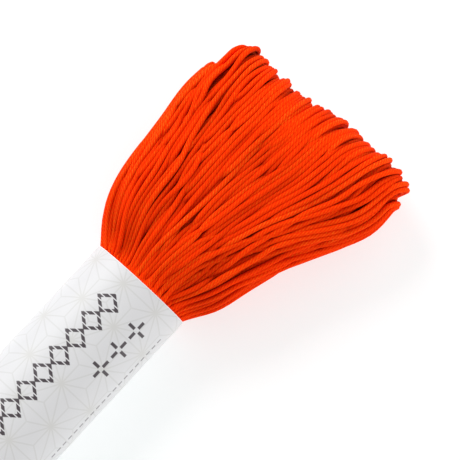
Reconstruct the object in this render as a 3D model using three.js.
// A skein of sashiko thread lying on a table: 275 turns of soft cotton thread, wound into a ring, pressed
// flat and drawn through a paper band that grips its middle. At both ends the turns spring out of the band,
// fan out sideways and turn back in a blunt row of loops.
// The skein is one solid of that wound form, with its main runs of thread as ridges. The band is a sleeve.
// Millimetres, +Z up, +X along the skein. The origin is under the middle of the object, on the table.
import * as THREE from 'three';

// Driving sizes
const SKEIN_LENGTH = 182; // from loops to loops
const END_LENGTH = 43.8; // from the band's mouth to the farthest loop
const BAND_WIDTH = 19;
const BAND_HEIGHT = 15;
const BAND_LIFT = 0.5; // the band hangs just clear of the table, between the two fans
const PAPER = 1; // the band's wall
const CLEARANCE = 0.3; // between the thread and the band
const RIDGE = 0.3; // how far the runs of thread stand out of the fans
const WAIST_RIDGE = 0.06; // and out of the gripped middle
const FOOT_SINK = 0.7; // how far a fan's round underside is pressed flat
const SETTLE = 6; // distance from the mouth at which a fan has come down to the table
const NOSE_LENGTH = 5.2; // the stretch in which a run turns over from the top to the underside
const NOSE_DRAW_IN = 0.03; // share by which the row of loops is narrower than the fan behind it
const LOOP_STEP = 0.42; // how far a loop stands out before the valleys beside it
const LOOP_SPREAD = 0.45; // and how much the loops differ from each other

// Mesh steps
const COLUMNS = 96; // ridges and valleys round the skein, in turn
const NOSE_STEPS = 5;
const BAND_SEGMENTS = 72;
const FAN_SHARES = [0.025, 0.06, 0.11, 0.17, 0.24, 0.32, 0.41, 0.5, 0.59, 0.68, 0.77, 0.85, 0.93, 1];
const FAN_ROUNDNESS = 2.35; // exponent of a section's outline: 2 is an ellipse, more is squarer
const WAIST_ROUNDNESS = 2;
const SHARING_OUT = { halfWidth: 19, halfHeight: 8.5, steps: 720 }; // outline that the columns are even on

// Each fan's outline. at: distance from the mouth. left and right: reach to +Y and -Y from the band's axis.
// top: height over the table.
const FRONT_FAN = [
  { at: 0, left: 8.2, right: 8.2, top: 14.2 },
  { at: 1.7, left: 11, right: 10.2, top: 15.4 },
  { at: 5, left: 13.3, right: 12.4, top: 16.7 },
  { at: 10, left: 15, right: 13.6, top: 17.5 },
  { at: 16.7, left: 15.8, right: 15.8, top: 17.7 },
  { at: 23.3, left: 16.4, right: 18.5, top: 17.4 },
  { at: 30, left: 17.4, right: 22, top: 16.9 },
  { at: 36.7, left: 16.2, right: 23.4, top: 16.2 },
  { at: 43.8, left: 15, right: 22.8, top: 15.4 },
];
const BACK_FAN = [
  { at: 0, left: 8.2, right: 8.2, top: 14.2 },
  { at: 1.7, left: 10.4, right: 10.8, top: 15.4 },
  { at: 5, left: 12.7, right: 13, top: 16.6 },
  { at: 10, left: 14.2, right: 14.7, top: 17.4 },
  { at: 16.7, left: 16.4, right: 15.5, top: 17.6 },
  { at: 23.3, left: 19.2, right: 16.3, top: 17.3 },
  { at: 30, left: 22.3, right: 17, top: 16.8 },
  { at: 36.7, left: 23.4, right: 16.3, top: 16.1 },
  { at: 43.8, left: 22.7, right: 15.4, top: 15.3 },
];

// Where the row of loops ends. across: place from the band's axis, +Y positive. reach: distance from the mouth.
const FRONT_LOOPS = [
  { across: -23.2, reach: 38.4 },
  { across: -22.3, reach: 41.8 },
  { across: -20, reach: 42.7 },
  { across: -16.5, reach: 43.4 },
  { across: -11.8, reach: 42.9 },
  { across: -6.5, reach: 43.4 },
  { across: -2, reach: 42.6 },
  { across: 3, reach: 41.6 },
  { across: 10, reach: 41.6 },
  { across: 12.4, reach: 42.3 },
  { across: 14.6, reach: 41.6 },
  { across: 16, reach: 37.6 },
];
const BACK_LOOPS = [
  { across: -16, reach: 37.6 },
  { across: -14.4, reach: 41.2 },
  { across: -9, reach: 42.3 },
  { across: -2, reach: 41.8 },
  { across: 5, reach: 42.6 },
  { across: 11, reach: 43 },
  { across: 17, reach: 43.4 },
  { across: 21.6, reach: 42 },
  { across: 23.2, reach: 38.2 },
];

// The furrows between the main bundles on top. across: where each lies at its far end. from and to: the stretch
// of the fan that it runs along. depth and width: its size.
const FRONT_FURROWS = [
  { across: 13.4, from: 21, to: 38, depth: 1.6, width: 1.1 },
  { across: 6.5, from: 3, to: 30, depth: 0.6, width: 1.2 },
  { across: -3.5, from: 1, to: 26, depth: 0.8, width: 1.2 },
  { across: -10.5, from: 8, to: 38, depth: 0.6, width: 1.3 },
  { across: -20.3, from: 22, to: 39, depth: 1.2, width: 1.2 },
];
const BACK_FURROWS = [
  { across: -12.5, from: 20, to: 38, depth: 1, width: 1.2 },
  { across: -3.5, from: 4, to: 30, depth: 0.6, width: 1.3 },
  { across: 5, from: 3, to: 34, depth: 0.7, width: 1.2 },
  { across: 15.5, from: 12, to: 38, depth: 0.9, width: 1.4 },
];

const FRONT = { side: 1, fan: FRONT_FAN, loops: FRONT_LOOPS, furrows: FRONT_FURROWS, phase: 0 };
const BACK = { side: -1, fan: BACK_FAN, loops: BACK_LOOPS, furrows: BACK_FURROWS, phase: 2.1 };

// Worked out from those
const BAND_LENGTH = SKEIN_LENGTH - 2 * END_LENGTH;
const MOUTH = BAND_LENGTH / 2;
const BAND_CENTRE_Z = BAND_LIFT + BAND_HEIGHT / 2;
const WAIST_HALF_WIDTH = BAND_WIDTH / 2 - PAPER - CLEARANCE;
const WAIST_HALF_HEIGHT = BAND_HEIGHT / 2 - PAPER - CLEARANCE;
const WAIST_BOTTOM = BAND_CENTRE_Z - WAIST_HALF_HEIGHT;

const THREAD_COLOUR = 0xf73c05;
const PAPER_COLOUR = 0xf1f1f2;

// The value of a named column at a place in a table, on a smooth curve through its rows.
function along(table, place, key, value) {
  const last = table.length - 1;
  if (value <= table[0][place]) return table[0][key];
  if (value >= table[last][place]) return table[last][key];
  const i = table.findIndex((row) => row[place] > value) - 1;
  const row = (k) => table[Math.min(Math.max(k, 0), last)];
  const slope = (k) => (row(k + 1)[key] - row(k - 1)[key]) / (row(k + 1)[place] - row(k - 1)[place]);
  const span = row(i + 1)[place] - row(i)[place];
  const t = (value - row(i)[place]) / span;
  const start = (2 * t ** 3 - 3 * t ** 2 + 1) * row(i)[key] + (t ** 3 - 2 * t ** 2 + t) * span * slope(i);
  return start + (3 * t ** 2 - 2 * t ** 3) * row(i + 1)[key] + (t ** 3 - t ** 2) * span * slope(i + 1);
}

const power = (value, exponent) => Math.sign(value) * Math.abs(value) ** exponent;
const bump = (offset, width) => Math.exp(-((offset / width) ** 2));

// How far the furrows cut into the top of a fan at a distance from the mouth. far is the place across the fan
// that the run of thread at this spot has at its loop, so a furrow follows the runs.
function furrowDepth(furrows, far, distance) {
  let depth = 0;
  for (const furrow of furrows) {
    const middle = (furrow.from + furrow.to) / 2;
    const half = (furrow.to - furrow.from) / 2;
    const share = Math.max(0, 1 - ((distance - middle) / half) ** 2);
    depth += furrow.depth * share * bump(far - furrow.across, furrow.width);
  }
  return depth;
}

// A fan's section at a distance from the mouth: its middle, its half sizes and how round it is.
function fanSection(end, distance) {
  const left = along(end.fan, 'at', 'left', distance);
  const right = along(end.fan, 'at', 'right', distance);
  const top = along(end.fan, 'at', 'top', distance);
  const settled = Math.min(distance / SETTLE, 1);
  const bottom = WAIST_BOTTOM - settled * (WAIST_BOTTOM + FOOT_SINK);
  return {
    y: (left - right) / 2,
    z: (top + bottom) / 2,
    halfWidth: (left + right) / 2,
    halfHeight: (top - bottom) / 2,
    exponent: 2 / (WAIST_ROUNDNESS + (FAN_ROUNDNESS - WAIST_ROUNDNESS) * settled),
    ridge: WAIST_RIDGE + (RIDGE - WAIST_RIDGE) * settled,
  };
}

// The angles of the columns, which stand at even distances round the outline of a fan. The underside mirrors
// the top.
function columnAngles() {
  const { halfWidth, halfHeight, steps } = SHARING_OUT;
  const exponent = 2 / FAN_ROUNDNESS;
  const lengths = [0];
  let last = new THREE.Vector2(halfWidth, 0);
  for (let step = 1; step <= steps; step++) {
    const angle = (Math.PI * step) / steps;
    const across = halfWidth * power(Math.cos(angle), exponent);
    const spot = new THREE.Vector2(across, halfHeight * power(Math.sin(angle), exponent));
    lengths.push(lengths[step - 1] + spot.distanceTo(last));
    last = spot;
  }
  const angles = [];
  for (let index = 0; index <= COLUMNS / 2; index++) {
    const wanted = (lengths[steps] * index) / (COLUMNS / 2);
    const step = Math.min(Math.max(lengths.findIndex((length) => length >= wanted), 1), steps);
    const share = (wanted - lengths[step - 1]) / (lengths[step] - lengths[step - 1]);
    angles.push((Math.PI * (step - 1 + share)) / steps);
  }
  for (let index = COLUMNS / 2 - 1; index > 0; index--) angles.push(2 * Math.PI - angles[index]);
  return angles;
}

const ANGLES = columnAngles();

// One column of a fan: its angle round the section, whether it is a ridge or a valley, and where it turns over.
// A column on the top and the one under it reach the same place.
function fanColumn(end, index) {
  const angle = ANGLES[index];
  const pair = Math.min(index, COLUMNS - index);
  const ridge = index % 2 ? -1 : 1;
  const tip = fanSection(end, END_LENGTH - NOSE_LENGTH);
  const far = tip.y + tip.halfWidth * power(Math.cos(angle), tip.exponent);
  const uneven = LOOP_SPREAD * Math.sin(1.9 * pair + end.phase);
  const reach = along(end.loops, 'across', 'reach', far) + (ridge * LOOP_STEP) / 2 + uneven;
  return { angle, far, reach, ridge: ridge * (1 + 0.35 * Math.sin(2.7 * pair + end.phase)) };
}

// A point of a fan. share runs from 0 at the mouth to 1 where the nose begins. turn runs from 0 there to 1,
// where the top and the underside meet.
function fanPoint(end, column, share, turn) {
  const distance = share * (column.reach - NOSE_LENGTH);
  const section = fanSection(end, distance);
  const sway = 0.03 * Math.sin(distance / 8 + column.angle * 9 + end.phase) * share * (1 - share);
  const cos = Math.cos(column.angle + sway);
  const sin = Math.sin(column.angle + sway);
  const furrow = sin > 0 ? furrowDepth(end.furrows, column.far, distance) : 0;
  const out = section.ridge * column.ridge;
  const across = section.halfWidth * power(cos, section.exponent) + out * cos;
  const rise = (section.halfHeight - furrow) * power(sin, section.exponent) + out * sin;
  const x = MOUTH + distance + turn * NOSE_LENGTH;
  const y = section.y + across * (1 - NOSE_DRAW_IN * turn);
  const z = Math.max(section.z + rise * Math.sqrt(1 - turn ** 2), 0);
  return new THREE.Vector3(end.side * x, y, z);
}

// The rings of points round a fan, from the mouth to the loops.
function fanRings(end) {
  const columns = ANGLES.map((_, index) => fanColumn(end, index));
  const ring = (share, turn) => columns.map((column) => fanPoint(end, column, share, turn));
  const rings = FAN_SHARES.map((share) => ring(share, 0));
  for (let step = 1; step <= NOSE_STEPS; step++) {
    rings.push(ring(1, Math.sin(((Math.PI / 2) * step) / NOSE_STEPS)));
  }
  return rings;
}

// A ring round the part that the band grips, at a place along X.
function waistRing(x) {
  return ANGLES.map((angle, column) => {
    const valley = column % 2 ? WAIST_RIDGE : 0;
    const y = (WAIST_HALF_WIDTH - valley) * Math.cos(angle);
    const z = BAND_CENTRE_Z + (WAIST_HALF_HEIGHT - valley) * Math.sin(angle);
    return new THREE.Vector3(x, y, z);
  });
}

// One closed skin over the rings, which run from the back loops to the front ones.
function skinOver(rings) {
  const points = rings.flat().flatMap((point) => point.toArray());
  const faces = [];
  for (let ring = 0; ring + 1 < rings.length; ring++) {
    for (let column = 0; column < COLUMNS; column++) {
      const a = ring * COLUMNS + column;
      const b = ring * COLUMNS + ((column + 1) % COLUMNS);
      faces.push(a, b, a + COLUMNS, b, b + COLUMNS, a + COLUMNS);
    }
  }
  const geometry = new THREE.BufferGeometry();
  geometry.setAttribute('position', new THREE.Float32BufferAttribute(points, 3));
  geometry.setIndex(faces);
  geometry.computeVertexNormals();
  return geometry;
}

function makeSkein() {
  const waist = [waistRing(-MOUTH), waistRing(0), waistRing(MOUTH)];
  const rings = [...fanRings(BACK).reverse(), ...waist, ...fanRings(FRONT)];
  const material = new THREE.MeshStandardMaterial({ color: THREAD_COLOUR, roughness: 0.75, metalness: 0 });
  const mesh = new THREE.Mesh(skinOver(rings), material);
  mesh.name = 'skein';
  return mesh;
}

function makeBand() {
  const outline = new THREE.Shape();
  outline.absellipse(0, 0, BAND_HEIGHT / 2, BAND_WIDTH / 2, 0, 2 * Math.PI);
  const hole = new THREE.Path();
  hole.absellipse(0, 0, BAND_HEIGHT / 2 - PAPER, BAND_WIDTH / 2 - PAPER, 0, 2 * Math.PI);
  outline.holes.push(hole);
  const settings = { depth: BAND_LENGTH, bevelEnabled: false, curveSegments: BAND_SEGMENTS };
  const geometry = new THREE.ExtrudeGeometry(outline, settings);
  geometry.rotateY(Math.PI / 2);
  geometry.translate(-MOUTH, 0, BAND_CENTRE_Z);
  const material = new THREE.MeshStandardMaterial({ color: PAPER_COLOUR, roughness: 0.6, metalness: 0 });
  const mesh = new THREE.Mesh(geometry, material);
  mesh.name = 'band';
  return mesh;
}

// The two pieces, moved together so that the origin is under the middle of their box.
function makePart() {
  const part = new THREE.Group();
  part.add(makeSkein(), makeBand());
  const middle = new THREE.Box3().setFromObject(part, true).getCenter(new THREE.Vector3());
  part.position.set(-middle.x, -middle.y, 0);
  return part;
}

export default makePart();
